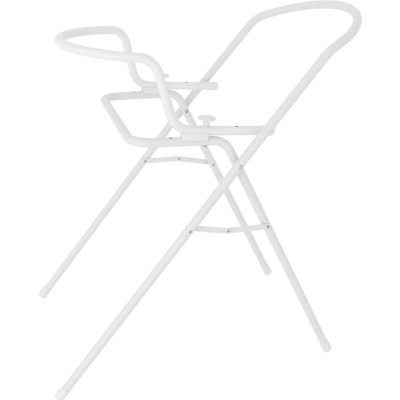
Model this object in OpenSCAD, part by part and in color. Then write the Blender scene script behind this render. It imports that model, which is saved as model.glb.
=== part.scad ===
// Folding stand that holds a baby bath between two hoops.
// Two bent tube frames cross at a pivot, and a third, shorter frame is clamped on the inner one.
// X runs from the low hoop to the high one, Y from the near side to the far side, Z up.

/* [Tube] */
// Outside diameter of the bent tubes
tube_d = 22; // [19:0.5:25]
// Wall of the tubes
tube_wall = 1.2; // [0.8:0.1:2]

/* [Outer frame] */
// Height of the pivot that joins the two frames
pivot_z = 591; // [540:1:640]
// Angle of the outer legs to the floor
outer_leg_angle = 52.2; // [50:0.1:56]
// Angle of the outer arms above the pivot
outer_arm_angle = 50.6; // [48:0.1:54]
// Distance between the outer legs, centre to centre
outer_w = 524; // [500:1:560]
// Length of the arm from the pivot to the hoop's bend
outer_arm_len = 340; // [320:1:370]
// Distance between the arms at the hoop's bend
outer_top_w = 502; // [490:1:520]
// Angle of the high hoop to the floor
outer_hoop_angle = 21.8; // [16:0.1:28]
// Length of the hoop's sides, from bend to shoulder
outer_side_len = 81; // [70:1:110]
// Distance between the shoulders of the high hoop
outer_shoulder_w = 432; // [410:1:450]
// Reach of the crown's corner point beyond the shoulders
outer_crown_len = 149; // [130:1:170]
// Radius of the bends between arms and hoop
outer_bend_r = 74; // [60:1:90]
// Radius of the high hoop's shoulders
outer_shoulder_r = 220; // [120:1:240]
// Radius of the high hoop's crown
outer_crown_r = 286; // [240:1:300]

/* [Inner frame] */
// Angle of the inner legs to the floor
inner_leg_angle = 63.1; // [60:0.1:66]
// Height of the rails above the pivot
rail_rise = 53.8; // [50:0.2:60]
// Slope of the inner rails, down to the right
rail_slope = 1; // [0:0.1:2]
// Distance between the rails at the clamps
rail_w = 454; // [446:1:458]
// How much each inner rail leans in towards the front, in degrees
rail_taper = 3.5; // [2:0.1:5]
// Distance from the pivot to the front cross tube
rail_front = 249.5; // [230:0.5:270]
// Radius of the bends between legs and rails
rail_bend_r = 49; // [45:1:52]
// Radius of the front corners
front_corner_r = 50; // [40:1:65]

/* [Upper hoop] */
// Distance between the upper and the inner rail, centre to centre at the clamp
rail_spacing = 25.5; // [25:0.5:32]
// Slope of the upper rails, down to the right
hoop_slope = 3.5; // [2:0.1:4.5]
// How much each upper rail leans in towards the front, in degrees
hoop_taper = 0.5; // [0:0.1:2]
// Reach of the upper rails beyond the pivot, caps included
hoop_tail = 96; // [88:1:104]
// Distance from the pivot to the foot of the risers
riser_back = 148.5; // [146:0.5:165]
// Length of the risers
riser_len = 168; // [150:1:190]
// Lean of the risers beyond upright, away from the pivot
riser_lean = 14.1; // [8:0.1:20]
// Distance between the risers at the top
riser_top_w = 390; // [370:1:410]
// Climb of the low hoop towards its front, in degrees
hoop_climb = 2.8; // [0:0.1:6]
// Length of the low hoop's sides, from riser to shoulder
hoop_side_len = 66; // [60:1:80]
// Distance between the shoulders of the low hoop
hoop_shoulder_w = 366; // [350:1:380]
// Reach of the crown's corner point beyond the shoulders
hoop_crown_len = 286; // [260:1:310]
// Radius of the bends at the foot of the risers
riser_foot_r = 55; // [45:1:60]
// Radius of the bends at the top of the risers
riser_top_r = 50; // [40:1:55]
// Radius of the low hoop's shoulders
hoop_shoulder_r = 140; // [80:1:160]
// Radius of the low hoop's crown
hoop_crown_r = 189; // [160:1:196]

/* [Hoop clamps] */
// Distance from the pivot back to the clamp bolts
clamp_back = 76; // [72:1:80]
// Distance from the clamp hole to the spare hole of the inner rails, towards the front
rail_hole_pitch = 83; // [74:1:92]
// Distance from the clamp hole to the spare hole of the upper rails, towards their tails
hoop_hole_pitch = 75; // [66:1:84]
// Length of the saddle blocks
saddle_len = 64; // [56:1:70]
// Reach of the saddle block from the bolt towards the pivot
saddle_reach = 6; // [6:0.5:12]
// Width of the saddle blocks
saddle_w = 28; // [27:0.5:32]
// Height that the saddle's lips reach up and down the tubes
saddle_lip = 6; // [4:0.5:8]
// Radius of the saddle's upright edges
saddle_edge_r = 4; // [3:0.5:5.5]
// Diameter of the clamp studs
stud_d = 6; // [5:0.1:6]
// Diameter of the clamp holes and the spare holes
clamp_hole_d = 8; // [6.8:0.1:9]
// Diameter of the knob's mushroom cap
knob_d = 43; // [36:1:50]
// Thickness of the cap at its rim
knob_rim = 5.4; // [3:0.1:7]
// Rise of the cap's dome above its rim
knob_dome = 1.6; // [0.8:0.1:4]
// Diameter of the knob's stem
knob_stem_d = 16; // [12:0.5:18]
// Length of the knob's stem
knob_stem_len = 15; // [12:0.2:20]
// Depth that the stud reaches into the knob
stud_grip = 14; // [10:0.5:15]
// Diameter of the washer under each knob
knob_washer_d = 17.5; // [15:0.5:20]
// Thickness of the washer under each knob
knob_washer_t = 1.2; // [0.8:0.1:2]
// Width of the clamp nuts across their flats
nut_w = 10; // [10:0.5:14]
// Thickness of the clamp nuts
nut_t = 3; // [2.5:0.5:6]

/* [Spreader links] */
// Distance from the pivot to the link rivets, along each leg
link_reach = 197; // [180:1:210]
// How far the middle joint lies off the straight line between the legs
link_sag = 10; // [6:0.5:14]
// Width of the link bars
link_w = 15; // [12:0.5:18]
// Thickness of the link bars
link_t = 2; // [1.5:0.1:2.5]
// Thickness of the washers between bars and tubes
link_washer_t = 1.2; // [1:0.1:2]

/* [Rivets] */
// Shank diameter of the pivot rivets
pivot_shank_d = 8; // [6:0.5:9]
// Head diameter of the pivot rivets
pivot_head_d = 11; // [10.5:0.5:14]
// Head height of the pivot rivets
pivot_head_h = 3; // [2:0.1:4]
// Diameter of the spacer between the frames at the pivot
spacer_d = 17; // [14:0.5:20]
// Shank diameter of the link rivets
link_shank_d = 5; // [4:0.5:5.5]
// Head diameter of the link rivets
link_head_d = 7.6; // [7:0.2:9]
// Head height of the link rivets
link_head_h = 2; // [1.5:0.1:3]
// Depth of the flat that each rivet head presses into its tube
seat_depth = 0.5; // [0.3:0.1:0.7]

/* [End caps] */
// Mean wall of the foot caps around the tube
foot_wall = 1.8; // [1.6:0.1:3]
// How far the caps are set off from the tube, outwards and up
foot_offset = 1; // [0:0.1:1.2]
// Length of the foot caps
foot_len = 35; // [30:1:42]
// Thickness of the foot caps' closed end
foot_end = 7; // [6:0.5:9]
// Radius of the rounded end of the foot caps
foot_round = 8.5; // [6:0.5:9]
// Chamfer around the mouth of the foot caps
foot_chamfer = 0.4; // [0.2:0.1:0.4]
// Depth of the flat that each foot stands on
foot_flat = 1.2; // [0.8:0.1:2]
// Wall of the hoop's end caps around the tube
tail_cap_wall = 1.3; // [1:0.1:1.8]
// Length of the hoop's end caps
tail_cap_len = 39; // [30:1:42]
// Thickness of their closed end
tail_cap_end = 5; // [5:0.5:7]
// Radius of their rounded end
tail_cap_round = 6.5; // [4:0.5:7]
// Chamfer around their mouth
tail_cap_chamfer = 0.6; // [0.2:0.1:0.8]

/* [Hidden] */
$fn = 64;

// Clearances: a pin that turns, a part that drops on, faces that slide, the two bars of the linkage,
// and their middle rivet's heads beside the legs
pin_play = 0.05;
drop_play = 0.15;
face_play = 0.1;
middle_play = 0.4;
head_play = 0.3;
// How much thinner the wall of a bend is on each face, and how far a straight run reaches round it
bend_thinning = 0.02;
bend_hold = 0.5;
cut = 1;

// Colours as the object shows them
paint = [0.93, 0.93, 0.93];
plastic = [0.95, 0.95, 0.94];
zinc = [0.45, 0.46, 0.48];

tube_r = tube_d / 2;
knob_foot = tube_r + knob_washer_t + face_play;
knob_fillet = 4;
saddle_side_r = 1.5;
stud_tail = 1;
spacer_reach = 2.5;
stud_chamfer = 0.8;
frame_gap = 2 * (link_washer_t + link_t + face_play) + middle_play;
outer_y = outer_w / 2;
inner_y = outer_y - tube_d - frame_gap;

function unit(v) = v / norm(v);
function turn_at(a, b, c) = acos(unit(b - a) * unit(c - b));
function setback(a, b, c, r) = r * tan(turn_at(a, b, c) / 2);
function in_plane(angle, reach) = [reach * cos(angle), 0, reach * sin(angle)];
function at_y(p, y) = [p.x, -y, p.z];
function far_side(points) = [for (i = [len(points) - 1 : -1 : 0]) [points[i].x, -points[i].y, points[i].z]];
function backwards(list) = [for (i = [len(list) - 1 : -1 : 0]) list[i]];

// A bend takes what its radius asks for, but leaves a short straight run before the next one
short_run = 4;
function within(back, room) = min(back, room - short_run);

// A small turn inwards just above the pivot, where the legs leave their own plane
kink_up = 30;
kink_r = 200;

pivot = [0, 0, pivot_z];

// Outer frame, from the near foot to the middle of the high hoop
foot_r = tube_r + foot_wall;
function foot_drop(angle) =
    foot_round - foot_round * sin(angle) + (foot_r - foot_round - foot_offset) * cos(angle);
function foot_tip(angle, towards) = let (z = foot_drop(angle) - foot_flat)
    [towards * (pivot_z - z) / tan(angle), 0, z];
outer_tip = foot_tip(outer_leg_angle, -1);
outer_up = unit(pivot - outer_tip);
outer_end = outer_tip + outer_up * foot_end;
outer_kink = pivot + outer_up * kink_up;
outer_bend = pivot + in_plane(outer_arm_angle, outer_arm_len);
outer_shoulder = outer_bend + in_plane(outer_hoop_angle, outer_side_len);
outer_crown = outer_shoulder + in_plane(outer_hoop_angle, outer_crown_len);
outer_half = [
    at_y(outer_end, outer_y), at_y(outer_kink, outer_y), at_y(outer_bend, outer_top_w / 2),
    at_y(outer_shoulder, outer_shoulder_w / 2),
];
outer_path = concat(outer_half, [outer_crown], far_side(outer_half));
outer_bend_back = setback(outer_path[1], outer_path[2], outer_path[3], outer_bend_r);
outer_shoulder_back = within(
    setback(outer_path[2], outer_path[3], outer_path[4], outer_shoulder_r),
    norm(outer_path[3] - outer_path[2]) - outer_bend_back
);
outer_crown_back = within(
    setback(outer_path[3], outer_path[4], outer_path[5], outer_crown_r),
    norm(outer_path[4] - outer_path[3]) - outer_shoulder_back
);
outer_half_setbacks = [
    0, setback(outer_path[0], outer_path[1], outer_path[2], kink_r), outer_bend_back, outer_shoulder_back,
];
outer_setbacks = concat(outer_half_setbacks, [outer_crown_back], backwards(outer_half_setbacks));

// Inner frame, from the near foot to the front corner
inner_tip = foot_tip(inner_leg_angle, 1);
inner_up = unit(pivot - inner_tip);
inner_end = inner_tip + inner_up * foot_end;
inner_kink_up = 17;
inner_kink = pivot + inner_up * inner_kink_up;
function rail_z(x) = pivot_z + rail_rise - x * tan(rail_slope);
function rail_y(x, taper) = rail_w / 2 + (x + clamp_back) * tan(taper);
inner_bend_x = -rail_rise / (tan(inner_leg_angle) - tan(rail_slope));
inner_bend = [inner_bend_x, 0, rail_z(inner_bend_x)];
front_corner = [-rail_front, 0, rail_z(-rail_front)];
inner_half = [
    at_y(inner_end, inner_y), at_y(inner_kink, inner_y), at_y(inner_bend, rail_y(inner_bend_x, rail_taper)),
    at_y(front_corner, rail_y(-rail_front, rail_taper)),
];
inner_path = concat(inner_half, far_side(inner_half));
inner_half_setbacks = [
    0, setback(inner_path[0], inner_path[1], inner_path[2], kink_r),
    setback(inner_path[1], inner_path[2], inner_path[3], rail_bend_r),
    setback(inner_path[2], inner_path[3], inner_path[4], front_corner_r),
];
inner_setbacks = concat(inner_half_setbacks, backwards(inner_half_setbacks));

// Clamp axis: square to the upper rail, through the inner rail at the clamp
clamp_up = [sin(hoop_slope), 0, cos(hoop_slope)];
inner_clamp = [-clamp_back, -rail_w / 2, rail_z(-clamp_back)];
upper_clamp = inner_clamp + clamp_up * rail_spacing;

// Upper hoop, from the near tail to the middle of the low hoop
function upper_rail(x) = [x, 0, upper_clamp.z - (x - upper_clamp.x) * tan(hoop_slope)];
tail_end_x = hoop_tail - tail_cap_end * cos(hoop_slope);
tail_end = upper_rail(tail_end_x);
riser_foot = upper_rail(-riser_back);
riser_top = riser_foot + in_plane(90 + riser_lean, riser_len);
low_shoulder = riser_top + in_plane(180 - hoop_climb, hoop_side_len);
low_crown = low_shoulder + in_plane(180 - hoop_climb, hoop_crown_len);
upper_half = [
    at_y(tail_end, rail_y(tail_end_x, hoop_taper)), at_y(riser_foot, rail_y(-riser_back, hoop_taper)),
    at_y(riser_top, riser_top_w / 2), at_y(low_shoulder, hoop_shoulder_w / 2),
];
upper_path = concat(upper_half, [low_crown], far_side(upper_half));
riser_top_back = setback(upper_path[1], upper_path[2], upper_path[3], riser_top_r);
low_shoulder_back = within(
    setback(upper_path[2], upper_path[3], upper_path[4], hoop_shoulder_r),
    norm(upper_path[3] - upper_path[2]) - riser_top_back
);
low_crown_back = within(
    setback(upper_path[3], upper_path[4], upper_path[5], hoop_crown_r),
    norm(upper_path[4] - upper_path[3]) - low_shoulder_back
);
upper_half_setbacks = [
    0, setback(upper_path[0], upper_path[1], upper_path[2], riser_foot_r), riser_top_back, low_shoulder_back,
];
upper_setbacks = concat(upper_half_setbacks, [low_crown_back], backwards(upper_half_setbacks));

// Directions of the near rails, and where their spare holes lie
inner_rail_dir = unit(inner_path[2] - inner_path[3]);
upper_rail_dir = unit(upper_path[0] - upper_path[1]);
inner_spare = inner_clamp - inner_rail_dir * rail_hole_pitch;
upper_spare = upper_clamp + upper_rail_dir * hoop_hole_pitch;

// Spreader linkage, in the gap between the legs
outer_link_pivot = pivot - outer_up * link_reach;
inner_link_pivot = pivot - inner_up * link_reach;
link_span = norm(inner_link_pivot - outer_link_pivot);
link_len = sqrt(pow(link_span / 2, 2) + pow(link_sag, 2));
span_dir = (inner_link_pivot - outer_link_pivot) / link_span;
span_up = [-span_dir.z, 0, span_dir.x];
function link_middle(way) = (outer_link_pivot + inner_link_pivot) / 2 + span_up * way * link_sag;

// Layers of the linkage, counted outwards from the middle plane of the stand
inner_face_y = inner_y + tube_r;
inner_bar_y = inner_face_y + link_washer_t + face_play;
outer_bar_y = inner_bar_y + link_t + middle_play;
outer_face_y = outer_y - tube_r;
middle_head_h = link_washer_t + face_play - head_play;

// The stand's own origin is on the floor, in the middle of its length
crown_turn = turn_at(outer_path[3], outer_path[4], outer_path[5]);
crown_cut = outer_crown_back / tan(crown_turn / 2) * (1 / cos(crown_turn / 2) - 1);
high_x = outer_crown.x - crown_cut * cos(outer_hoop_angle) + tube_r;
low_x = outer_tip.x + foot_round * cos(outer_leg_angle) - foot_round
    - (foot_r - foot_round + foot_offset) * sin(outer_leg_angle);
centre_x = (high_x + low_x) / 2;

// Sides of the stand: pieces are drawn on the near side and mirrored to the far one
near = 0;
far = 1;
module on_side(side) {
    translate([-centre_x, 0, 0]) mirror([0, side, 0]) children();
}

module tube_section(d, wall) {
    difference() {
        circle(d = d);
        circle(d = d - 2 * wall);
    }
}

// Stands its children on a point, with their Z axis along a direction
module along(point, dir) {
    translate(point) rotate([0, acos(dir.z / norm(dir)), atan2(dir.y, dir.x)]) children();
}

module straight_run(a, b, d, wall) {
    along(a, b - a) linear_extrude(norm(b - a)) tube_section(d, wall);
}

// A bend's wall is a hair thinner than the straight runs', which hold its ends
module bend_run(a, b, c, back, d, wall) {
    u = unit(b - a);
    v = unit(c - b);
    turn = acos(u * v);
    bend_r = back / tan(turn / 2);
    inward = unit(v - (u * v) * u);
    centre = b - u * back + inward * bend_r;
    axis = cross(u, inward);
    multmatrix([
        [-inward.x, u.x, axis.x, centre.x],
        [-inward.y, u.y, axis.y, centre.y],
        [-inward.z, u.z, axis.z, centre.z],
        [0, 0, 0, 1],
    ])
        rotate_extrude(angle = turn) translate([bend_r, 0])
            tube_section(d - 2 * bend_thinning, wall - 2 * bend_thinning);
}

// A tube bent at each inner point of its path, with straight runs between the bends
module bent_tube(path, setbacks, d, wall) {
    for (i = [0 : len(path) - 2]) {
        dir = unit(path[i + 1] - path[i]);
        start = i == 0 ? 0 : setbacks[i] - bend_hold;
        end = i == len(path) - 2 ? 0 : setbacks[i + 1] - bend_hold;
        straight_run(path[i] + dir * start, path[i + 1] - dir * end, d, wall);
    }
    for (i = [1 : len(path) - 2])
        bend_run(path[i - 1], path[i], path[i + 1], setbacks[i], d, wall);
}

// Spherical cap on the XY plane
module dome(d, h) {
    ball_r = (d * d / 4 + h * h) / (2 * h);
    intersection() {
        translate([0, 0, h - ball_r]) sphere(ball_r);
        cylinder(h = h, d = d);
    }
}

// Hole across a tube, with the flat that the rivet head presses into the wall at the given side
module rivet_hole(point, y, hole_d, head_d, head_way) {
    translate([point.x, -y, point.z]) rotate([90, 0, 0]) {
        cylinder(h = tube_d + 2 * cut, d = hole_d, center = true);
        translate([0, 0, head_way * (tube_r - seat_depth / 2 + cut / 2)])
            cylinder(h = seat_depth + cut, d = head_d + 2 * face_play, center = true);
    }
}

module clamp_hole(point) {
    along(point, clamp_up) cylinder(h = tube_d + 2 * cut, d = clamp_hole_d, center = true);
}

// Draws its children on the near side and again on the far side
module both_sides() {
    for (side = [0, 1])
        mirror([0, side, 0]) children();
}

module outer_frame() {
    color(paint) difference() {
        bent_tube(outer_path, outer_setbacks, tube_d, tube_wall);
        both_sides() {
            rivet_hole(pivot, outer_y, pivot_shank_d + 2 * pin_play, pivot_head_d, 1);
            rivet_hole(outer_link_pivot, outer_y, link_shank_d + 2 * pin_play, link_head_d, 1);
        }
    }
}

module inner_frame() {
    color(paint) difference() {
        bent_tube(inner_path, inner_setbacks, tube_d, tube_wall);
        both_sides() {
            rivet_hole(pivot, inner_y, pivot_shank_d + 2 * pin_play, pivot_head_d, -1);
            rivet_hole(inner_link_pivot, inner_y, link_shank_d + 2 * pin_play, link_head_d, -1);
            clamp_hole(inner_clamp);
            clamp_hole(inner_spare);
        }
    }
}

module upper_hoop() {
    color(paint) difference() {
        bent_tube(upper_path, upper_setbacks, tube_d, tube_wall);
        both_sides() {
            clamp_hole(upper_clamp);
            clamp_hole(upper_spare);
        }
    }
}

// Half of the outline of a push-on cap: round at the tip, chamfered at the mouth, bore left out
module cap_outline(length, outer_r, round_r, chamfer) {
    square([outer_r - round_r, round_r + cut]);
    intersection() {
        translate([outer_r - round_r, round_r]) circle(round_r);
        square([outer_r, round_r + cut]);
    }
    polygon([
        [0, round_r], [outer_r, round_r], [outer_r, length - chamfer],
        [outer_r - chamfer, length], [0, length],
    ]);
}

// Foot cap, set off towards the outer and upper side of its leg, with the flat that it stands on
module foot_cap(tip, up, y) {
    lean = sign(up.x);
    outwards = [-lean * up.z, 0, lean * up.x];
    color(plastic) difference() {
        along(at_y(tip + outwards * foot_offset, y), up) rotate_extrude()
            cap_outline(foot_len, foot_r, foot_round, foot_chamfer);
        along(at_y(tip + up * foot_end, y), up) cylinder(h = foot_len, r = tube_r + pin_play);
        translate([tip.x, -y, -foot_len / 2]) cube(foot_len, center = true);
    }
}

module hoop_end_cap() {
    tip = upper_path[0] + upper_rail_dir * tail_cap_end;
    color(plastic) along(tip, -upper_rail_dir) difference() {
        rotate_extrude() cap_outline(tail_cap_len, tube_r + tail_cap_wall, tail_cap_round, tail_cap_chamfer);
        translate([0, 0, tail_cap_end]) cylinder(h = tail_cap_len, r = tube_r + pin_play);
    }
}

// Block between the two rails, with a trough for each
module saddle() {
    saddle_h = rail_spacing - 2 * tube_r + 2 * saddle_lip;
    slope = (rail_slope + hoop_slope) / 2;
    plan_turn = -(rail_taper + hoop_taper) / 2;
    color(plastic) difference() {
        translate((inner_clamp + upper_clamp) / 2) rotate([0, slope, 0]) rotate([0, 0, plan_turn])
            intersection() {
                linear_extrude(saddle_h, center = true) saddle_plan();
                rotate([90, 0, 0]) linear_extrude(saddle_w + 2 * cut, center = true) saddle_side(saddle_h);
            }
        rail_trough(upper_clamp, upper_rail_dir);
        rail_trough(inner_clamp, inner_rail_dir);
        along(inner_clamp, clamp_up) cylinder(h = rail_spacing, d = clamp_hole_d);
    }
}

module rail_trough(point, dir) {
    along(point - dir * saddle_len, dir) cylinder(h = 2 * saddle_len, r = tube_r + drop_play);
}

module rounded_plate(length, width, edge_r) {
    translate([-length / 2 + edge_r, -width / 2]) square([length - 2 * edge_r, width]);
    translate([-length / 2, -width / 2 + edge_r]) square([length, width - 2 * edge_r]);
    for (x = [-1, 1], y = [-1, 1])
        translate([x * (length / 2 - edge_r), y * (width / 2 - edge_r)]) circle(edge_r);
}

module saddle_plan() {
    translate([saddle_reach - saddle_len / 2, 0]) rounded_plate(saddle_len, saddle_w, saddle_edge_r);
}

module saddle_side(h) {
    translate([saddle_reach - saddle_len / 2, 0]) rounded_plate(saddle_len, h, saddle_side_r);
}

// Parts of a clamp, stacked along the clamp axis above the upper rail
module on_clamp(height) {
    along(upper_clamp + clamp_up * height, clamp_up) children();
}

module knob_washer() {
    color(plastic) on_clamp(tube_r + face_play / 2) difference() {
        cylinder(h = knob_washer_t, d = knob_washer_d);
        translate([0, 0, -cut]) cylinder(h = knob_washer_t + 2 * cut, d = stud_d + 2 * drop_play);
    }
}

// Half of the knob's section: stem, fillet under the cap, round rim and low dome
module knob_outline() {
    rim_x = (knob_d - knob_rim) / 2;
    stem_r = knob_stem_d / 2;
    fillet_x = stem_r + knob_fillet;
    fillet_z = knob_stem_len - knob_fillet;
    dome_r = (rim_x * rim_x + knob_dome * knob_dome) / (2 * knob_dome);
    square([stem_r, fillet_z]);
    difference() {
        translate([0, fillet_z]) square([fillet_x, knob_fillet]);
        translate([fillet_x, fillet_z]) circle(knob_fillet);
    }
    translate([0, knob_stem_len]) square([rim_x, knob_rim]);
    intersection() {
        translate([rim_x, knob_stem_len + knob_rim / 2]) circle(knob_rim / 2);
        translate([rim_x, knob_stem_len]) square([knob_rim, knob_rim]);
    }
    intersection() {
        translate([0, knob_stem_len + knob_rim + knob_dome - dome_r]) circle(dome_r, $fn = 4 * $fn);
        translate([0, knob_stem_len + knob_rim]) square([rim_x, knob_rim]);
    }
}

module knob() {
    color(plastic) on_clamp(knob_foot) difference() {
        rotate_extrude() knob_outline();
        translate([0, 0, -cut]) cylinder(h = stud_grip + cut, d = stud_d + pin_play);
    }
}

// Stud moulded into the knob, reaching down through both rails and the nut
module knob_stud() {
    stud_low = rail_spacing + tube_r + nut_t + stud_tail;
    color(zinc) on_clamp(-stud_low) {
        cylinder(h = stud_chamfer, d1 = stud_d - 2 * stud_chamfer, d2 = stud_d);
        translate([0, 0, stud_chamfer])
            cylinder(h = stud_low + knob_foot + stud_grip - stud_chamfer - face_play, d = stud_d);
    }
}

// Hexagon nut with its lower corners turned off, square to the stud and so a little askew to its rail
module clamp_nut() {
    nut_corner_d = nut_w / cos(30);
    askew = abs(hoop_slope - rail_slope);
    nut_top = rail_spacing + tube_r / cos(askew) + nut_corner_d / 2 * tan(askew) + face_play / 2;
    color(zinc) on_clamp(-nut_top - nut_t) difference() {
        intersection() {
            cylinder(h = nut_t, d = nut_corner_d, $fn = 6);
            cylinder(h = nut_t, d1 = nut_w, d2 = nut_w + 2 * nut_t);
        }
        translate([0, 0, -cut]) cylinder(h = nut_t + 2 * cut, d = stud_d + 2 * pin_play);
    }
}

// Rivets lie across the stand. Heights are counted outwards from the stand's middle plane.
module across(point, y) {
    translate([point.x, -y, point.z]) rotate([90, 0, 0]) children();
}

module shank(point, from_y, to_y, d) {
    across(point, from_y) cylinder(h = to_y - from_y, d = d);
}

module pivot_rivet() {
    seat_out = outer_y + tube_r - seat_depth;
    seat_in = inner_y - tube_r + seat_depth;
    color(zinc) {
        shank(pivot, seat_in - cut, seat_out + cut, pivot_shank_d);
        across(pivot, seat_out) dome(pivot_head_d, pivot_head_h);
        mirror_about(pivot, seat_in - face_play) dome(pivot_head_d, pivot_head_h);
    }
}

// As across, but with the children's Z axis pointing inwards
module mirror_about(point, y) {
    translate([point.x, -y, point.z]) rotate([-90, 0, 0]) children();
}

// Spacer that cups the outer leg and is flat against the inner one
module pivot_spacer() {
    color(plastic) difference() {
        shank(pivot, inner_face_y + face_play, outer_face_y + spacer_reach, spacer_d);
        shank(pivot, inner_face_y - cut, outer_y, pivot_shank_d + 2 * drop_play);
        along(at_y(pivot - outer_up * spacer_d, outer_y), outer_up)
            cylinder(h = 2 * spacer_d, r = tube_r + pin_play);
    }
}

// Flat bar with round ends, from one rivet to another
module link_bar(a, b, y) {
    dir = unit(b - a);
    swing = atan2(dir.z, dir.x);
    color(paint) translate([a.x, -y, a.z]) rotate([0, -swing, 0]) rotate([90, 0, 0]) linear_extrude(link_t)
        difference() {
            union() {
                translate([0, -link_w / 2]) square([link_len, link_w]);
                for (x = [0, link_len])
                    translate([x, 0]) circle(d = link_w);
            }
            for (x = [0, link_len])
                translate([x, 0]) circle(d = link_shank_d + 2 * pin_play);
        }
}

module outer_link(way) {
    link_bar(outer_link_pivot, link_middle(way), outer_bar_y);
}

module inner_link(way) {
    link_bar(inner_link_pivot, link_middle(way), inner_bar_y);
}

module outer_link_rivet() {
    seat = outer_y + tube_r - seat_depth;
    tail = outer_bar_y - face_play;
    color(zinc) {
        shank(outer_link_pivot, tail - link_head_h / 2, seat + cut, link_shank_d);
        shank(outer_link_pivot, tail - link_head_h / 2, tail, link_head_d);
        across(outer_link_pivot, seat) dome(link_head_d, link_head_h);
    }
}

module inner_link_rivet() {
    seat = inner_y - tube_r + seat_depth;
    tail = inner_bar_y + link_t + face_play;
    color(zinc) {
        shank(inner_link_pivot, seat - cut, tail + link_head_h / 2, link_shank_d);
        shank(inner_link_pivot, tail, tail + link_head_h / 2, link_head_d);
        mirror_about(inner_link_pivot, seat) dome(link_head_d, link_head_h);
    }
}

module link_washer(point, from_y) {
    color(plastic) difference() {
        shank(point, from_y, from_y + link_washer_t, link_w);
        shank(point, from_y - cut, from_y + link_washer_t + cut, link_shank_d + 2 * pin_play);
    }
}

module outer_link_washer() {
    link_washer(outer_link_pivot, outer_face_y - link_washer_t);
}

module inner_link_washer() {
    link_washer(inner_link_pivot, inner_face_y);
}

// The middle rivet is cut between the bars, so that each bar carries its own half
module middle_rivet_head(way) {
    seat = outer_bar_y + link_t;
    color(zinc) {
        shank(link_middle(way), outer_bar_y - middle_play / 4, seat + middle_head_h / 2, link_shank_d);
        across(link_middle(way), seat) dome(link_head_d, middle_head_h);
    }
}

module middle_rivet_tail(way) {
    end = inner_bar_y + link_t + middle_play / 4;
    color(zinc) {
        shank(link_middle(way), inner_bar_y - middle_head_h / 2, end, link_shank_d);
        mirror_about(link_middle(way), inner_bar_y) dome(link_head_d, middle_head_h);
    }
}

// The near links hang below the line between the legs, and the far ones stand above it
link_down = -1;
link_up = 1;

on_side(near) outer_frame();
on_side(near) foot_cap(outer_tip, outer_up, outer_y);  // outer_foot_near
on_side(far) foot_cap(outer_tip, outer_up, outer_y);  // outer_foot_far
on_side(near) inner_frame();
on_side(near) foot_cap(inner_tip, inner_up, inner_y);  // inner_foot_near
on_side(far) foot_cap(inner_tip, inner_up, inner_y);  // inner_foot_far
on_side(near) upper_hoop();
on_side(near) hoop_end_cap();  // hoop_end_cap_near
on_side(far) hoop_end_cap();  // hoop_end_cap_far
on_side(near) saddle();  // saddle_near
on_side(far) saddle();  // saddle_far
on_side(near) clamp_nut();  // clamp_nut_near
on_side(far) clamp_nut();  // clamp_nut_far
on_side(near) knob_washer();  // knob_washer_near
on_side(far) knob_washer();  // knob_washer_far
on_side(near) knob();  // knob_near
on_side(far) knob();  // knob_far
on_side(near) knob_stud();  // knob_stud_near
on_side(far) knob_stud();  // knob_stud_far
on_side(near) pivot_rivet();  // pivot_rivet_near
on_side(far) pivot_rivet();  // pivot_rivet_far
on_side(near) pivot_spacer();  // pivot_spacer_near
on_side(far) pivot_spacer();  // pivot_spacer_far
on_side(near) outer_link(link_down);  // outer_link_near
on_side(far) outer_link(link_up);  // outer_link_far
on_side(near) inner_link(link_down);  // inner_link_near
on_side(far) inner_link(link_up);  // inner_link_far
on_side(near) outer_link_rivet();  // outer_link_rivet_near
on_side(far) outer_link_rivet();  // outer_link_rivet_far
on_side(near) inner_link_rivet();  // inner_link_rivet_near
on_side(far) inner_link_rivet();  // inner_link_rivet_far
on_side(near) outer_link_washer();  // outer_link_washer_near
on_side(far) outer_link_washer();  // outer_link_washer_far
on_side(near) inner_link_washer();  // inner_link_washer_near
on_side(far) inner_link_washer();  // inner_link_washer_far
on_side(near) middle_rivet_head(link_down);  // middle_rivet_head_near
on_side(far) middle_rivet_head(link_up);  // middle_rivet_head_far
on_side(near) middle_rivet_tail(link_down);  // middle_rivet_tail_near
on_side(far) middle_rivet_tail(link_up);  // middle_rivet_tail_far
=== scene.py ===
"""A folding baby bath stand of white painted tube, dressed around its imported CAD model."""

from math import copysign, cos, pi, radians, sin, sqrt, tan

import bmesh
import bpy
from mathutils import Matrix, Vector


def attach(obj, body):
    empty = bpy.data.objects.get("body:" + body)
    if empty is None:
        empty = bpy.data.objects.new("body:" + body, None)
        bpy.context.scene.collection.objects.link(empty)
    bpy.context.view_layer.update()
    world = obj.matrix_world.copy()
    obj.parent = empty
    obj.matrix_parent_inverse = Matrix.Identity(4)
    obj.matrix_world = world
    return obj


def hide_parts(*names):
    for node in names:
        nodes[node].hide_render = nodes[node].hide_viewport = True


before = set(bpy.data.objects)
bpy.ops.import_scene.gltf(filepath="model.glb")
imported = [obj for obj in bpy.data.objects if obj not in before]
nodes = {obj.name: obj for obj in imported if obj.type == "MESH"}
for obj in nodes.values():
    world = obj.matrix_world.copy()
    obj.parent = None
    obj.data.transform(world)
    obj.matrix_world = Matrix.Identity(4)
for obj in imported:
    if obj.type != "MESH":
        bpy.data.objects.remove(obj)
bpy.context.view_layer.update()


# ---------------------------------------------------------------------------
# Camera: a long lens a little above the stand, looking down on it from the
# near left, with the slight roll that the photograph has.
# ---------------------------------------------------------------------------
camera_azimuth = radians(-16.44)
camera_elevation = radians(22.58)
camera_roll = radians(1.18)
camera_distance = 2.0106
camera_target = Vector((0.0224, 0.0, 0.3979))

back = Vector((
    sin(camera_azimuth) * cos(camera_elevation),
    -cos(camera_azimuth) * cos(camera_elevation),
    sin(camera_elevation),
))
level_right = Vector((cos(camera_azimuth), sin(camera_azimuth), 0.0))
level_up = back.cross(level_right)
right = level_right * cos(camera_roll) + level_up * sin(camera_roll)
up = level_up * cos(camera_roll) - level_right * sin(camera_roll)

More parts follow.
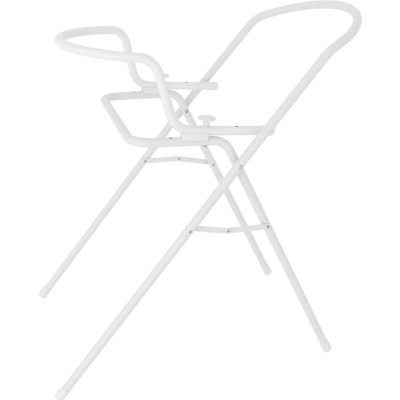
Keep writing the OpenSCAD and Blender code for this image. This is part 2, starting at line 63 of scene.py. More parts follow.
camera_data = bpy.data.cameras.new("camera")
camera_data.sensor_width = 36.0
camera_data.lens = 64.84
camera = bpy.data.objects.new("camera", camera_data)
bpy.context.scene.collection.objects.link(camera)
camera.matrix_world = Matrix.Translation(camera_target + back * camera_distance) @ Matrix(
    (right, up, back)
).transposed().to_4x4()
bpy.context.scene.camera = camera


# ---------------------------------------------------------------------------
# The three frames: 22 mm steel tube, bent cold and baked in white powder coat,
# which is smooth and half glossy with a very faint ripple. The inside of the
# tube, seen through its holes, is painted near-black: painted shade in the bore.
# ---------------------------------------------------------------------------
class Socket:
    """An output of a shader node. Arithmetic adds Math nodes, and node() adds any other kind."""

    def __init__(self, tree, out=None):
        self.tree, self.out = tree, out

    def node(self, kind, settings=None, inputs=None, output=0):
        made = self.tree.nodes.new(kind)
        for name, value in (settings or {}).items():
            setattr(made, name, value)
        for key, value in (inputs or {}).items():
            plug(self.tree, made.inputs[key], value)
        return Socket(self.tree, made.outputs[output])

    def math(self, operation, *values):
        return self.node("ShaderNodeMath", {"operation": operation}, dict(enumerate(values)))

    def vector_math(self, operation, *values, output="Vector"):
        return self.node("ShaderNodeVectorMath", {"operation": operation}, dict(enumerate(values)), output)

    def __add__(self, other):
        return self.math("ADD", self, other)

    def __radd__(self, other):
        return self.math("ADD", other, self)

    def __mul__(self, other):
        return self.math("MULTIPLY", self, other)

    def __rmul__(self, other):
        return self.math("MULTIPLY", other, self)


def plug(tree, socket, value):
    if isinstance(value, Socket):
        tree.links.new(value.out, socket)
    else:
        socket.default_value = value


def grain(place, scale, detail=2.0):
    """Noise from 0 to 1 on the piece, with this many grains to the metre."""
    return place.node("ShaderNodeTexNoise", inputs={"Vector": place, "Scale": scale, "Detail": detail})


def blend_colour(factor, first, second):
    return factor.node("ShaderNodeMix", {"data_type": "RGBA"}, {0: factor, 6: first, 7: second}, output=2)


def bump(height, distance):
    return height.node("ShaderNodeBump", inputs={"Strength": 1.0, "Distance": distance, "Height": height})


def new_material(name):
    """A material with one Principled shader: (material, object coordinates, shader)."""
    made = bpy.data.materials.new(name)
    made.use_nodes = True
    tree = made.node_tree
    place = Socket(tree).node("ShaderNodeTexCoord", output="Object")
    return made, place, tree.nodes["Principled BSDF"]


def finish_with(shader, **inputs):
    """Sets or links the shader's sockets; an underscore in a name stands for a space."""
    for name, value in inputs.items():
        plug(shader.id_data, shader.inputs[name.replace("_", " ")], value)


def dress(node_names, material):
    for name in node_names:
        mesh = nodes[name].data
        mesh.materials.clear()
        mesh.materials.append(material)


coat_white = (0.84, 0.84, 0.84, 1.0)
coat_dull = (0.8, 0.8, 0.795, 1.0)
# painted light: the upper hoop's coat is a whiter copy of the frames' coat, painted lighter because the
# hoop shows brighter in its light
hoop_lit_white = (0.89, 0.89, 0.89, 1.0)
hoop_lit_dull = (0.85, 0.85, 0.845, 1.0)
# painted shade: the near-black colour of the tube's dark inside, seen through its holes
shaded_bore_colour = (0.035, 0.035, 0.04, 1.0)
coat_cloud_grain = 14.0
coat_gloss_grain = 60.0
coat_ripple_grain = 700.0
coat_ripple_height = 0.00003
bore_radius = 0.0103


def powder_coat(name, dull, white, bored_runs=()):
    """White powder coat. In the bore of a run, given by its middle, direction and half length, the
    surface is painted near-black as painted shade."""
    made, place, shader = new_material(name)
    colour = blend_colour(grain(place, coat_cloud_grain), dull, white)
    roughness = 0.3 + 0.12 * grain(place, coat_gloss_grain)
    if bored_runs:
        x, y, z = (place.node("ShaderNodeSeparateXYZ", inputs={0: place}, output=axis) for axis in "XYZ")
        folded = place.node("ShaderNodeCombineXYZ", inputs={0: x, 1: y.math("ABSOLUTE", y), 2: z})
        for middle, direction, half_length in bored_runs:
            reach = place.vector_math("SUBTRACT", folded, middle)
            off_middle = place.vector_math("LENGTH", reach, output="Value")
            aside = place.vector_math("CROSS_PRODUCT", reach, direction)
            off_axis = place.vector_math("LENGTH", aside, output="Value")
            in_bore = place.math("LESS_THAN", off_axis, bore_radius)
            shade_in_bore = in_bore * place.math("LESS_THAN", off_middle, half_length)
            # painted shade: the bore's inside is painted near-black where the holes show it
            colour = blend_colour(shade_in_bore, colour, shaded_bore_colour)
            roughness = roughness + 0.2 * shade_in_bore
    finish_with(
        shader, Base_Color=colour, Roughness=roughness,
        Normal=bump(grain(place, coat_ripple_grain, 1.0), coat_ripple_height),
    )
    return made


rail_bend = Vector((0.01275, 0.229964, 0.645281))
front_corner = Vector((-0.209213, 0.216388, 0.649155))
hoop_tail = Vector((0.1313, 0.228457, 0.66146))
riser_foot = Vector((-0.108213, 0.226367, 0.676109))
inner_along = (rail_bend - front_corner).normalized()
upper_along = (hoop_tail - riser_foot).normalized()
inner_bore_back = 0.0903
inner_bore_half = 0.054
upper_bore_back = 0.1283
upper_bore_half = 0.05
inner_bore = (rail_bend - inner_along * inner_bore_back, inner_along, inner_bore_half)
upper_bore = (hoop_tail - upper_along * upper_bore_back, upper_along, upper_bore_half)
dress(["outer_frame"], powder_coat("powder_coat_outer", coat_dull, coat_white))
dress(["inner_frame"], powder_coat("powder_coat_inner", coat_dull, coat_white, [inner_bore]))
# the hoop takes the lighter copy of the coat: painted light
dress(["upper_hoop"], powder_coat("powder_coat_hoop_lit", hoop_lit_dull, hoop_lit_white, [upper_bore]))


# ---------------------------------------------------------------------------
# Foot caps: white moulded plastic, pushed over the ends of the four legs. Each
# bulges towards the outside of the stand, has a round tip, narrows to its mouth,
# and stands on a flat that is worn a little grey.
# ---------------------------------------------------------------------------
MM = 0.001
tube_radius = 11.0
pivot = Vector((0.0403, 0.0, 0.591))
outer_leg_angle = radians(52.2)
inner_leg_angle = radians(63.1)
outer_up = Vector((cos(outer_leg_angle), 0.0, sin(outer_leg_angle)))
inner_up = Vector((-cos(inner_leg_angle), 0.0, sin(inner_leg_angle)))
outer_side = 0.262
inner_side = 0.233


def arc(x, z, radius, start, end, steps):
    """Points of an arc round (x, z), from one angle in degrees to another."""
    turns = [radians(start + (end - start) * i / steps) for i in range(steps + 1)]
    return [(x + radius * cos(a), z + radius * sin(a)) for a in turns]


def turned(outline, steps=64, ring=False):
    """A solid turned about Z from (radius, height) points in millimetres: from the axis and back
    to it, or once round the section of a ring."""
    bm = bmesh.new()
    verts = [bm.verts.new((x * MM, 0.0, z * MM)) for x, z in outline]
    edges = [bm.edges.new(pair) for pair in zip(verts, verts[1:])]
    if ring:
        edges.append(bm.edges.new((verts[-1], verts[0])))
    bmesh.ops.spin(
        bm, geom=verts + edges, cent=(0, 0, 0), axis=(0, 0, 1), angle=2 * pi, steps=steps, use_merge=True,
    )
    bmesh.ops.remove_doubles(bm, verts=bm.verts, dist=1e-7)
    bmesh.ops.recalc_face_normals(bm, faces=bm.faces)
    return bm


def stand_on(point, direction):
    """The place of a piece whose foot is at a point and whose Z axis lies along a direction."""
    return Matrix.Translation(point) @ direction.to_track_quat("Z", "Y").to_matrix().to_4x4()


def rod(start, direction, length, radius, steps=96):
    """A plain round cutter, its length and radius in millimetres."""
    bm = turned([(0.0, 0.0), (radius, 0.0), (radius, length), (0.0, length)], steps)
    bmesh.ops.transform(bm, matrix=stand_on(start, direction), verts=bm.verts)
    return bm


def saw_off(bm, point, outwards):
    """Takes away all that lies outwards of a plane, and closes the cut."""
    cut = bmesh.ops.bisect_plane(
        bm, geom=bm.verts[:] + bm.edges[:] + bm.faces[:], plane_co=point, plane_no=outwards,
        clear_outer=True,
    )
    bmesh.ops.holes_fill(bm, edges=[e for e in cut["geom_cut"] if isinstance(e, bmesh.types.BMEdge)])


def as_object(bm, name):
    mesh = bpy.data.meshes.new(name)
    bm.to_mesh(mesh)
    bm.free()
    made = bpy.data.objects.new(name, mesh)
    bpy.context.scene.collection.objects.link(made)
    return made


def carved(bm, cutters):
    """The shape with every cutter taken out of it."""
    body = as_object(bm, "body")
    tools = [as_object(cutter, "cutter") for cutter in cutters]
    for tool in tools:
        modifier = body.modifiers.new("cut", "BOOLEAN")
        modifier.operation, modifier.solver, modifier.object = "DIFFERENCE", "EXACT", tool
    whole = body.evaluated_get(bpy.context.evaluated_depsgraph_get())
    result = bmesh.new()
    result.from_mesh(whole.to_mesh())
    bmesh.ops.remove_doubles(result, verts=result.verts, dist=1e-6)
    for made in [body] + tools:
        bpy.data.objects.remove(made)
    return result


def fit(bm, place, name, body, node, material, mirrored):
    """Puts a shape in its place, mirrored to the far side or not, as the piece that shows a node."""
    bm = bm.copy()
    bmesh.ops.transform(bm, matrix=place, verts=bm.verts)
    if mirrored:
        bmesh.ops.scale(bm, vec=(1, -1, 1), verts=bm.verts)
    bmesh.ops.recalc_face_normals(bm, faces=bm.faces)
    for face in bm.faces:
        face.smooth = True
    piece = as_object(bm, name)
    piece.data.set_sharp_from_angle(angle=radians(35))
    piece.data.materials.append(material)
    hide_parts(node)
    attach(piece, body)


def fit_pair(bm, place, name, body, node, material):
    """The same piece on the near side and the far side; * in a body's or node's name is the side."""
    for side, mirrored in (("near", False), ("far", True)):
        fit(
            bm, place, f"{name}_{side}", body.replace("*", side), node.replace("*", side), material,
            mirrored,
        )
    bm.free()


def mould_finish(shader, place, colour, roughness, gloss_grain, skin_grain, skin_height, skin_detail=1.0):
    """Finishes moulded plastic: its colour, a gloss that varies a little, and the skin of the mould."""
    finish_with(
        shader, Base_Color=colour, Roughness=roughness + 0.1 * grain(place, gloss_grain),
        Normal=bump(grain(place, skin_grain, skin_detail), skin_height),
    )


cap_white = (0.88, 0.88, 0.88, 1.0)
cap_shade = (0.84, 0.84, 0.84, 1.0)
sole_grey = (0.55, 0.54, 0.52, 1.0)
sole_height = 0.0004
cap_cloud_grain = 40.0
sole_wear_grain = 900.0
cap_plastic, place, shader = new_material("moulded_cap_plastic")
height = place.node("ShaderNodeSeparateXYZ", inputs={0: place}, output="Z")
sole = place.math("LESS_THAN", height, sole_height)
colour = blend_colour(grain(place, cap_cloud_grain), cap_shade, cap_white)
colour = blend_colour(sole * (0.5 + 0.4 * grain(place, sole_wear_grain)), colour, sole_grey)
mould_finish(
    shader, place, colour, roughness=0.4, gloss_grain=150.0, skin_grain=2500.0, skin_height=0.00002,
)

foot_radius = 12.8
foot_offset = 1.0
foot_round = 8.5
foot_length = 35.0
foot_end = 7.0
foot_flat = 1.2
foot_bulge = 20.0
mouth_radius = 11.6
mouth_chamfer = 0.3
mouth_shift = 0.8
mouth_depth = 1.0
pole_ring = 2.0
cap_bore = tube_radius + 0.05
foot_outline = (
    [(0.0, 0.0), (pole_ring, 0.0)]
    + arc(foot_radius - foot_round, foot_round, foot_round, -90, 0, 10)
    + [(foot_radius, foot_bulge), (mouth_radius, foot_length - mouth_chamfer)]
    + [(mouth_radius - mouth_chamfer, foot_length), (0.0, foot_length)]
)
for frame_name, leg_up, side_y in (("outer", outer_up, outer_side), ("inner", inner_up, inner_side)):
    lean = 1.0 if leg_up.x > 0 else -1.0
    outwards = Vector((-lean * leg_up.z, 0.0, lean * leg_up.x))
    inset = foot_radius - foot_round - foot_offset
    drop = foot_round * (1 - leg_up.z) + inset * abs(leg_up.x) - foot_flat
    tip = pivot - leg_up * ((pivot.z - drop * MM) / leg_up.z)
    tip.y = -side_y
    cap = turned(foot_outline)
    bmesh.ops.transform(cap, matrix=stand_on(tip + outwards * foot_offset * MM, leg_up), verts=cap.verts)
    mouth = [v for v in cap.verts if (v.co - tip).dot(leg_up) > (foot_length - mouth_depth) * MM]
    bmesh.ops.translate(cap, vec=outwards * -mouth_shift * MM, verts=mouth)
    saw_off(cap, (0, 0, 0), (0, 0, -1))
    cap = carved(cap, [rod(tip + leg_up * foot_end * MM, leg_up, foot_length, cap_bore, steps=64)])
    fit_pair(
        cap, Matrix(), f"{frame_name}_foot_cap", frame_name, f"{frame_name}_foot_*",
        cap_plastic,
    )


# ---------------------------------------------------------------------------
# End caps of the upper hoop: the same white plastic, rounder at the end, pushed
# over the two tails of the tube.
# ---------------------------------------------------------------------------
mirror_side = Vector((1.0, -1.0, 1.0))
tail_end = hoop_tail * mirror_side
tail_along = upper_along * mirror_side
tail_cap_radius = 12.3
tail_cap_round = 6.5
tail_cap_end = 5.0
tail_cap_straight = 28.0
tail_cap_length = 39.0
tail_mouth_radius = 11.9
tail_mouth_chamfer = 0.4
tail_mouth_depth = 0.6
tail_outline = (
    [(0.0, 0.0), (pole_ring, 0.0)]
    + arc(tail_cap_radius - tail_cap_round, tail_cap_round, tail_cap_round, -90, 0, 10)
    + [(tail_cap_radius, tail_cap_straight), (tail_mouth_radius, tail_cap_length - tail_mouth_depth)]
    + [(tail_mouth_radius - tail_mouth_chamfer, tail_cap_length), (cap_bore, tail_cap_length)]
    + [(cap_bore, tail_cap_end), (0.0, tail_cap_end)]
)
fit_pair(
    turned(tail_outline), stand_on(tail_end + tail_along * tail_cap_end * MM, -tail_along),
    "tail_cap", "hoop", "hoop_end_cap_*", cap_plastic,
)


# ---------------------------------------------------------------------------
# Saddle blocks: white moulded plastic, one each side, laid between the two
# rails with a trough for each, the upper one following the tube into its bend.
# The clamp's stud runs through them.
# ---------------------------------------------------------------------------
rail_slope = radians(1.0)
hoop_slope = radians(3.5)
rail_rise = 0.0538
rail_spacing = 25.5
clamp_back = 0.076
clamp_side = 0.227
clamp_up = Vector((sin(hoop_slope), 0.0, cos(hoop_slope)))
inner_clamp = Vector((
    pivot.x - clamp_back, -clamp_side, pivot.z + rail_rise + clamp_back * tan(rail_slope),
))
upper_clamp = inner_clamp + clamp_up * rail_spacing * MM
rail_along = inner_along * mirror_side

saddle_cloud_grain = 60.0
saddle_plastic, place, shader = new_material("moulded_saddle_plastic")
mould_finish(
    shader, place, blend_colour(grain(place, saddle_cloud_grain), cap_shade, cap_white),
    roughness=0.42, gloss_grain=200.0, skin_grain=2200.0, skin_height=0.00003,
)

square_edge = 1.2  # radians from face to face: an edge that turns less is part of a rounding


def rounded_block(length, width, height, upright_radius, top_radius, bottom_radius):
    """A block with round upright edges, and with its top and bottom rounded off all the way round."""
    bm = bmesh.new()
    bmesh.ops.create_cube(bm, size=MM)
    bmesh.ops.scale(bm, vec=(length, width, height), verts=bm.verts)
    upright = [e for e in bm.edges if abs(e.verts[0].co.z - e.verts[1].co.z) > 0.5 * height * MM]
    bmesh.ops.bevel(
        bm, geom=upright, offset=upright_radius * MM, affect="EDGES", segments=6, profile=0.5, material=-1,
    )
    for way, radius in ((1, top_radius), (-1, bottom_radius)):
        rim = [
            e for e in bm.edges
            if e.calc_face_angle() > square_edge and min(v.co.z * way for v in e.verts) > 0.4 * height * MM
        ]
        bmesh.ops.bevel(
            bm, geom=rim, offset=radius * MM, affect="EDGES", segments=5, profile=0.5, material=-1,
        )
    return bm


def bend_rod(start, direction, middle, axis, turn, radius):
    """A round cutter that follows a tube round its bend, its radius in millimetres. It starts
    a little before the bend, so that it runs into the straight cutter."""
    overlap = radians(1.0)
    bm = bmesh.new()
    bmesh.ops.create_circle(bm, cap_ends=False, segments=96, radius=radius * MM)
    bmesh.ops.transform(bm, matrix=stand_on(start, direction), verts=bm.verts)
    bmesh.ops.rotate(bm, cent=middle, matrix=Matrix.Rotation(-overlap, 3, axis), verts=bm.verts)
    bmesh.ops.spin(
        bm, geom=bm.verts[:] + bm.edges[:], cent=middle, axis=axis, angle=turn + overlap, steps=24,
        use_merge=False,
    )
    bmesh.ops.holes_fill(bm, edges=[e for e in bm.edges if e.is_boundary])
    bmesh.ops.recalc_face_normals(bm, faces=bm.faces)
    return bm


riser_top = Vector((-0.14914, -0.195, 0.839047))
near_riser_foot = riser_foot * mirror_side
riser_along = (riser_top - near_riser_foot).normalized()
foot_bend_radius = 0.055
foot_bend_turn = pi - tail_along.angle(riser_along)
foot_bend_start = near_riser_foot + tail_along * foot_bend_radius * tan(foot_bend_turn / 2)
foot_bend_in = (riser_along - tail_along * riser_along.dot(tail_along)).normalized()
foot_bend_middle = foot_bend_start + foot_bend_in * foot_bend_radius

saddle_back = 26.0
saddle_lift = 1.5
saddle_yaw = radians(-2.0)
trough_radius = tube_radius + 0.15
trough_length = 180.0
trough_overlap = 0.5
trough_turn = radians(40.0)
stud_hole_radius = 4.0
saddle_turn = Matrix.Rotation((rail_slope + hoop_slope) / 2, 4, "Y") @ Matrix.Rotation(saddle_yaw, 4, "Z")
saddle = rounded_block(
    length=64.0, width=28.0, height=18.5, upright_radius=4.0, top_radius=3.2, bottom_radius=0.6,
)
bmesh.ops.translate(saddle, vec=(-saddle_back * MM, 0, saddle_lift * MM), verts=saddle.verts)
bmesh.ops.transform(
    saddle, matrix=Matrix.Translation((inner_clamp + upper_clamp) / 2) @ saddle_turn, verts=saddle.verts,
)
saddle = carved(saddle, [
    rod(inner_clamp - rail_along * trough_length / 2 * MM, rail_along, trough_length, trough_radius),
    rod(foot_bend_start - tail_along * trough_overlap * MM, tail_along, trough_length, trough_radius),
    bend_rod(
        foot_bend_start, tail_along, foot_bend_middle, foot_bend_in.cross(tail_along), trough_turn,
        trough_radius,
    ),
    rod(inner_clamp, clamp_up, rail_spacing, stud_hole_radius),
])
fit_pair(saddle, Matrix(), "saddle_block", "inner", "saddle_*", saddle_plastic)


# ---------------------------------------------------------------------------
# Clamp nuts and studs: zinc-plated M6, the nut chamfered on both faces and drawn
# up under the inner rail, the stud moulded into the knob and threaded below. A
# ring stands for each turn of the thread.
# ---------------------------------------------------------------------------
zinc_dark = (0.3, 0.305, 0.315, 1.0)
zinc_light = (0.55, 0.555, 0.565, 1.0)
bright_zinc_dark = (0.42, 0.42, 0.43, 1.0)
bright_zinc_light = (0.72, 0.72, 0.73, 1.0)
spangle_grain = 500.0
spangle_detail = 4.0
zinc_gloss_grain = 900.0
zinc_skin_grain = 4000.0
zinc_skin_height = 0.00001


def zinc_plate(name, dark, light):
    made, place, shader = new_material(name)
    finish_with(
        shader, Base_Color=blend_colour(grain(place, spangle_grain, spangle_detail), dark, light),
        Metallic=1.0, Roughness=0.22 + 0.25 * grain(place, zinc_gloss_grain),
        Normal=bump(grain(place, zinc_skin_grain), zinc_skin_height),
    )
    return made


nut_zinc = zinc_plate("zinc_nuts", bright_zinc_dark, bright_zinc_light)
nut_width = 10.0
nut_height = 3.0
nut_play = 0.05
nut_bore = 3.05
nut_bore_chamfer = 0.3
nut_face_radius = 4.7
nut_corner_fall = 0.6
nut_corner = nut_width / 2 / cos(pi / 6)
nut_weld = 2e-5
askew = hoop_slope - rail_slope
nut_drop = rail_spacing + tube_radius / cos(askew) + nut_corner * tan(askew) + nut_play
nut = turned([
    (nut_bore, nut_bore_chamfer), (nut_bore + nut_bore_chamfer, 0.0), (nut_face_radius, 0.0),
    (nut_corner, nut_corner_fall), (nut_corner, nut_height - nut_corner_fall),
    (nut_face_radius, nut_height), (nut_bore + nut_bore_chamfer, nut_height),
    (nut_bore, nut_height - nut_bore_chamfer),
], steps=72, ring=True)
for side in range(6):
    facing = Vector((cos(pi / 6 + side * pi / 3), sin(pi / 6 + side * pi / 3), 0.0))
    saw_off(nut, facing * nut_width / 2 * MM, facing)
bmesh.ops.remove_doubles(nut, verts=nut.verts, dist=nut_weld)
bmesh.ops.dissolve_degenerate(nut, edges=nut.edges, dist=nut_weld)
fit_pair(
    nut, stand_on(upper_clamp - clamp_up * (nut_drop + nut_height) * MM, clamp_up),
    "hex_nut", "inner", "clamp_nut_*", nut_zinc,
)

bolt_zinc = zinc_plate("zinc_bolts", zinc_dark, zinc_light)
knob_lift = 1.3
stud_in_knob = 14.0
stud_end_play = 0.1
stud_past_nut = 1.0
stud_below = rail_spacing + tube_radius + nut_height + stud_past_nut
stud_above = tube_radius + knob_lift + stud_in_knob - stud_end_play
stud_length = stud_below + stud_above
shank_radius = 2.95
thread_turns = 16
thread_pitch = 1.0
thread_length = thread_turns * thread_pitch
thread_root = 2.42
thread_crest = 2.97
point_radius = 1.6
point_root = 1.9
point_crest = 2.3
root_growth = 0.3
crest_growth = 0.35
shank_chamfer = 0.5
shank_chamfer_height = 0.7
shank_lap = 0.5
shank_foot = thread_length - shank_lap
stud = turned([
    (0.0, shank_foot), (shank_radius - shank_chamfer, shank_foot),
    (shank_radius, shank_foot + shank_chamfer_height), (shank_radius, stud_length), (0.0, stud_length),
], steps=24)
thread_outline = [(point_radius, 0.0)]
for turn in range(thread_turns):
    root = min(thread_root, point_root + root_growth * turn)
    crest = min(thread_crest, point_crest + crest_growth * turn)
    ridge = ((root, 0.1), (crest, 0.45), (crest, 0.6))
    thread_outline += [(radius, (turn + share) * thread_pitch) for radius, share in ridge]
thread_outline += [(thread_root, thread_length)]
thread_verts = [stud.verts.new((x * MM, 0.0, z * MM)) for x, z in thread_outline]
thread_edges = [stud.edges.new(pair) for pair in zip(thread_verts, thread_verts[1:])]
bmesh.ops.spin(
    stud, geom=thread_verts + thread_edges, cent=(0, 0, 0), axis=(0, 0, 1), angle=2 * pi, steps=24,
    use_merge=True,
)
bmesh.ops.holes_fill(stud, edges=[e for e in stud.edges if e.is_boundary])
fit_pair(
    stud, stand_on(upper_clamp - clamp_up * stud_below * MM, clamp_up), "clamp_stud", "knob_*",
    "knob_stud_*", bolt_zinc,
)


# ---------------------------------------------------------------------------
# Knobs: white plastic mushrooms moulded in one with their stem, with a thick
# round rim, a low dome and the small mark of the mould's gate on top. A nylon
# washer, cupped to the tube, lies between each and the rail.
# ---------------------------------------------------------------------------
knob_white = (0.85, 0.85, 0.85, 1.0)
knob_shade = (0.82, 0.82, 0.82, 1.0)
knob_cloud_grain = 90.0
knob_plastic, place, shader = new_material("moulded_knob_plastic")
mould_finish(
    shader, place, blend_colour(grain(place, knob_cloud_grain), knob_shade, knob_white),
    roughness=0.3, gloss_grain=300.0, skin_grain=1800.0, skin_height=0.00002,
)
rim_middle = 18.8
rim_round = 2.7
rim_foot = 15.0
knob_radius = 21.6
stem_radius = 8.0
stem_fillet = 4.0
stem_chamfer = 0.5
stem_chamfer_height = 0.6
stud_bore = 3.1
underside_ring = 15.0
gate_mark = [(0.0, 21.8), (1.4, 21.8)]
low_dome = [(1.7, 22.0), (6.0, 21.83), (11.0, 21.44), (15.5, 20.9)]
upper_rim = arc(rim_middle, rim_foot + rim_round, rim_round, 88, 5, 7)
rim_edge = [(knob_radius, 17.8), (knob_radius, 17.6)]
lower_rim = arc(rim_middle, rim_foot + rim_round, rim_round, -5, -90, 7)
underside = [(underside_ring, rim_foot)]
stem = arc(stem_radius + stem_fillet, rim_foot - stem_fillet, stem_fillet, 90, 180, 6)
stem_foot = [(stem_radius, stem_chamfer_height), (stem_radius - stem_chamfer, 0.0)]
stem_bore = [(stud_bore, 0.0), (stud_bore, stud_in_knob), (0.0, stud_in_knob)]
knob = turned(
    gate_mark + low_dome + upper_rim + rim_edge + lower_rim + underside + stem + stem_foot + stem_bore,
    steps=96,
)
fit_pair(
    knob, stand_on(upper_clamp + clamp_up * (tube_radius + knob_lift) * MM, clamp_up),
    "mushroom_knob", "knob_*", "knob_*", knob_plastic,
)

nylon_white = (0.86, 0.86, 0.85, 1.0)
nylon_shade = (0.8, 0.8, 0.79, 1.0)
nylon_cloud_grain = 300.0
nylon, place, shader = new_material("nylon_washers")
mould_finish(
    shader, place, blend_colour(grain(place, nylon_cloud_grain), nylon_shade, nylon_white),
    roughness=0.45, gloss_grain=500.0, skin_grain=3000.0, skin_height=0.00001, skin_detail=2.0,
)
washer_edge = 0.25
washer_thickness = 1.2


def washer(outer, inner, thickness):
    """A flat ring with softened outer edges, all in millimetres."""
    return turned([
        (inner, 0.0), (outer - washer_edge, 0.0), (outer, washer_edge), (outer, thickness - washer_edge),
        (outer - washer_edge, thickness), (inner, thickness),
    ], steps=48, ring=True)


cup_depth = 3.6
cup_length = 40.0
cup_radius = tube_radius + 0.05
cupped = washer(outer=8.75, inner=3.15, thickness=washer_thickness + cup_depth)
bmesh.ops.transform(
    cupped, matrix=stand_on(upper_clamp + clamp_up * (cup_radius - cup_depth) * MM, clamp_up),
    verts=cupped.verts,
)
cupped = carved(cupped, [
    rod(upper_clamp - tail_along * cup_length / 2 * MM, tail_along, cup_length, cup_radius),
])
fit_pair(cupped, Matrix(), "clamp_washer", "hoop", "knob_washer_*", nylon)


# ---------------------------------------------------------------------------
# Pivot rivets: zinc-plated steel, 8 mm thick, through both frames, with a domed
# head outside and a tail rolled over inside. A white plastic spacer, cupped to
# the outer leg, keeps the frames apart.
# ---------------------------------------------------------------------------
pivot_zinc = zinc_plate("zinc_pivot_rivets", bright_zinc_dark, bright_zinc_light)
outwards = Vector((0.0, -1.0, 0.0))
head_sink = 0.5
outer_seat = outer_side / MM + tube_radius - head_sink
inner_seat = inner_side / MM - tube_radius + head_sink

# Outlines in shares of a head's radius and height, and of the radius and height of a rolled tail.
domed_head = ((0.0, 1.0), (0.3, 0.95), (0.6, 0.74), (0.85, 0.4), (1.0, 0.12), (1.0, 0.0))
rolled_tail = ((1.0, 0.0), (1.0, 0.35), (0.86, 0.85), (0.7, 1.0), (0.52, 0.8))
hollow_lip = 0.1
hollow_depth = 1.5
hollow_point = 1.8


def rivet(shank, head, head_height, seat, tail, roll, hollow):
    """A rivet along Z, in millimetres: a domed head on its seat, and a hollow tail rolled over at
    the other end. A negative height turns the head or the roll the other way."""
    outline = [(share * head, seat + rise * head_height) for share, rise in domed_head]
    outline += [(shank, seat), (shank, tail)]
    outline += [(share * head, tail - fall * roll) for share, fall in rolled_tail]
    outline += [(hollow, tail - hollow_lip * roll), (hollow, tail + copysign(hollow_depth, roll))]
    outline += [(0.0, tail + copysign(hollow_point, roll))]
    return turned(outline, steps=40)


def from_middle(point):
    """The place of a rivet at a point, with Z outwards from the stand's middle plane."""
    return stand_on(Vector((point.x, 0.0, point.z)), outwards)


tail_sink = 0.1
cross_rivet = rivet(
    shank=4.0, head=5.5, head_height=3.0, seat=outer_seat, tail=inner_seat - tail_sink, roll=2.8,
    hollow=2.0,
)
fit_pair(
    cross_rivet, from_middle(pivot), "cross_rivet", "outer", "pivot_rivet_*", pivot_zinc,
)
dress(["pivot_spacer_near", "pivot_spacer_far"], saddle_plastic)


# ---------------------------------------------------------------------------
# Spreader bars: flat steel, 15 mm wide and 2 mm thick, cut with round ends and
# powder coated like the tubes. The near pair hangs below the straight line
# between the legs, and the far pair stands above it.
# ---------------------------------------------------------------------------
bar_coat = powder_coat("powder_coat_bars", coat_dull, coat_white)
bar_width = 15.0
bar_thickness = 2.0
bar_hole = 2.55
bar_edge = 0.45
outer_layer = 247.7
inner_layer = 245.3
link_reach = 0.197
link_sag = 0.010
outer_link_pivot = pivot - outer_up * link_reach
inner_link_pivot = pivot - inner_up * link_reach
span = inner_link_pivot - outer_link_pivot
span_up = Vector((-span.z, 0.0, span.x)).normalized()
bar_length = sqrt((span.length / 2) ** 2 + link_sag ** 2) / MM
middles = {way: (outer_link_pivot + inner_link_pivot) / 2 + span_up * way * link_sag for way in (-1, 1)}


def flat_bar(length, width, thickness, hole, edge):
    """A bar with round ends and a hole in each, from the origin along X, as thick as Z goes up."""
    bm = bmesh.new()
    rims = []
    steps = 24
    ends = arc(0.0, 0.0, width / 2, 90, 270, steps) + arc(length, 0.0, width / 2, -90, 90, steps)
    holes = [arc(x, 0.0, hole, 0, 360 - 360 / steps, steps - 1) for x in (0.0, length)]
    for points in [ends] + holes:
        verts = [bm.verts.new((x * MM, y * MM, 0.0)) for x, y in points]
        rims += [bm.edges.new(pair) for pair in zip(verts, verts[1:] + verts[:1])]
    bmesh.ops.triangle_fill(bm, edges=rims, use_beauty=True, use_dissolve=True)
    top = bmesh.ops.extrude_face_region(bm, geom=bm.faces[:])
    raised = [v for v in top["geom"] if isinstance(v, bmesh.types.BMVert)]
    bmesh.ops.translate(bm, vec=(0, 0, thickness * MM), verts=raised)
    outer_rims = [
        e for e in bm.edges
        if e.calc_face_angle(0.0) > square_edge and abs(e.verts[0].co.z - e.verts[1].co.z) < 1e-6
    ]
    bmesh.ops.bevel(
        bm, geom=outer_rims, offset=edge * MM, affect="EDGES", segments=3, profile=0.5, material=-1,
    )
    return bm


for side, way in (("near", -1), ("far", 1)):
    for name, start, layer in (
        ("outer", outer_link_pivot, outer_layer), ("inner", inner_link_pivot, inner_layer),
    ):
        along = (middles[way] - start).normalized()
        place_bar = Matrix.Translation((start.x, -layer * MM, start.z)) @ Matrix(
            (along, outwards.cross(along), outwards)
        ).transposed().to_4x4()
        bar = flat_bar(bar_length, bar_width, bar_thickness, bar_hole, bar_edge)
        fit(
            bar, place_bar, f"{name}_spreader_bar_{side}", f"{name}_link_{side}", f"{name}_link_{side}",
            bar_coat, mirrored=way > 0,
        )
        bar.free()


# ---------------------------------------------------------------------------
# Rivets and washers of the spreader bars: 5 mm zinc-plated rivets through the
# legs and at the middle joints, with nylon washers between bars and legs.
# ---------------------------------------------------------------------------
rivet_zinc = zinc_plate("zinc_link_rivets", zinc_dark, zinc_light)
link_shank = 2.5
link_head = 3.8
link_head_height = 2.0
link_roll = 1.0
link_hollow = 1.4
link_washer_radius = 7.5
bar_play = 0.1
outer_tail = outer_layer - bar_play
inner_tail = inner_layer + bar_thickness + bar_play
for name, point, seat, tail, way in (
    ("outer", outer_link_pivot, outer_seat, outer_tail, 1),
    ("inner", inner_link_pivot, inner_seat, inner_tail, -1),
):
    leg_rivet = rivet(
        link_shank, link_head, way * link_head_height, seat, tail, way * link_roll, link_hollow,
    )
    fit_pair(
        leg_rivet, from_middle(point), f"{name}_leg_rivet", name, f"{name}_link_rivet_*",
        rivet_zinc,
    )
outer_washer_foot = outer_layer + bar_thickness + bar_play
inner_washer_foot = inner_layer - bar_play - washer_thickness
for name, point, washer_foot in (
    ("outer", outer_link_pivot, outer_washer_foot), ("inner", inner_link_pivot, inner_washer_foot),
):
    fit_pair(
        washer(link_washer_radius, bar_hole, washer_thickness),
        from_middle(point) @ Matrix.Translation((0, 0, washer_foot * MM)), f"{name}_leg_washer", name,
        f"{name}_link_washer_*", nylon,
    )


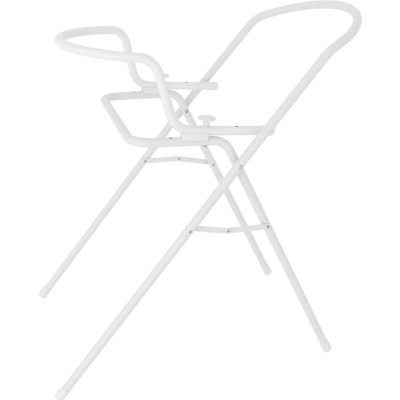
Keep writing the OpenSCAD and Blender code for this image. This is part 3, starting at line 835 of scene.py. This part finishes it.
def half_rivet(seat, way):
    """The head and half the shank of a middle rivet, its head going out from the seat one way."""
    head = [(0.0, 1.0), (1.4, 0.93), (2.6, 0.72), (3.4, 0.42), (link_head, 0.1), (link_head, 0.0)]
    shank_end = seat - (bar_thickness + bar_play) * way
    outline = [(radius, seat + rise * way) for radius, rise in head]
    outline += [(link_shank, seat), (link_shank, shank_end), (0.0, shank_end)]
    return turned(outline, steps=32)


for side, way in (("near", -1), ("far", 1)):
    for part, link, seat, head_way in (
        ("head", "outer", outer_layer + bar_thickness, 1), ("tail", "inner", inner_layer, -1),
    ):
        half = half_rivet(seat, head_way)
        fit(
            half, from_middle(middles[way]), f"joint_rivet_{part}_{side}", f"{link}_link_{side}",
            f"middle_rivet_{part}_{side}", rivet_zinc, mirrored=way > 0,
        )
        half.free()


# ---------------------------------------------------------------------------
# Floor and light: a white floor under an even white sky, with one large soft
# lamp low at the front left. The floor and the sky show white to the camera and
# in reflections, and the floor keeps the stand's own faint shadow.
# ---------------------------------------------------------------------------
floor_half = 20.0
floor_white = (0.96, 0.96, 0.96, 1.0)
floor_glow = 1.05
floor_glow_share = 0.8
sky_white = (1.0, 1.0, 1.0, 1.0)
sky_strength = 0.82
lamp_place = Vector((-2.4, -2.2, 0.6))
lamp_aim = Vector((0.0, 0.0, 0.5))
lamp_width = 2.5
lamp_power = 20.0


def shown_to_camera(tree):
    """1 for rays that draw the background, straight or in a reflection, and 0 for the rest."""
    camera_ray, glossy_ray, through_ray = (
        Socket(tree).node("ShaderNodeLightPath", output=name)
        for name in ("Is Camera Ray", "Is Glossy Ray", "Is Transmission Ray")
    )
    return camera_ray.math("MINIMUM", camera_ray + glossy_ray + through_ray, 1.0)


bm = bmesh.new()
bmesh.ops.create_grid(bm, x_segments=1, y_segments=1, size=floor_half)
floor = as_object(bm, "floor")
floor_material, place, shader = new_material("white_floor")
finish_with(shader, Base_Color=floor_white, Roughness=0.9)
tree = floor_material.node_tree
glow = place.node("ShaderNodeEmission", inputs={"Strength": floor_glow})
mixed = place.node("ShaderNodeMixShader", inputs={
    0: floor_glow_share * shown_to_camera(tree), 1: Socket(tree, shader.outputs[0]), 2: glow,
})
plug(tree, tree.nodes["Material Output"].inputs["Surface"], mixed)
floor.data.materials.append(floor_material)

world = bpy.data.worlds.new("studio")
bpy.context.scene.world = world
world.use_nodes = True
tree = world.node_tree
background = tree.nodes["Background"]
plug(tree, background.inputs["Color"], sky_white)
plug(tree, background.inputs["Strength"], sky_strength + (1.0 - sky_strength) * shown_to_camera(tree))

lamp_data = bpy.data.lights.new("soft_lamp", "AREA")
lamp_data.shape = "DISK"
lamp_data.size = lamp_width
lamp_data.energy = lamp_power
lamp = bpy.data.objects.new("soft_lamp", lamp_data)
bpy.context.scene.collection.objects.link(lamp)
lamp.location = lamp_place
lamp.rotation_euler = (lamp_aim - lamp_place).to_track_quat("-Z", "Y").to_euler()

bpy.context.scene.view_settings.view_transform = "Standard"
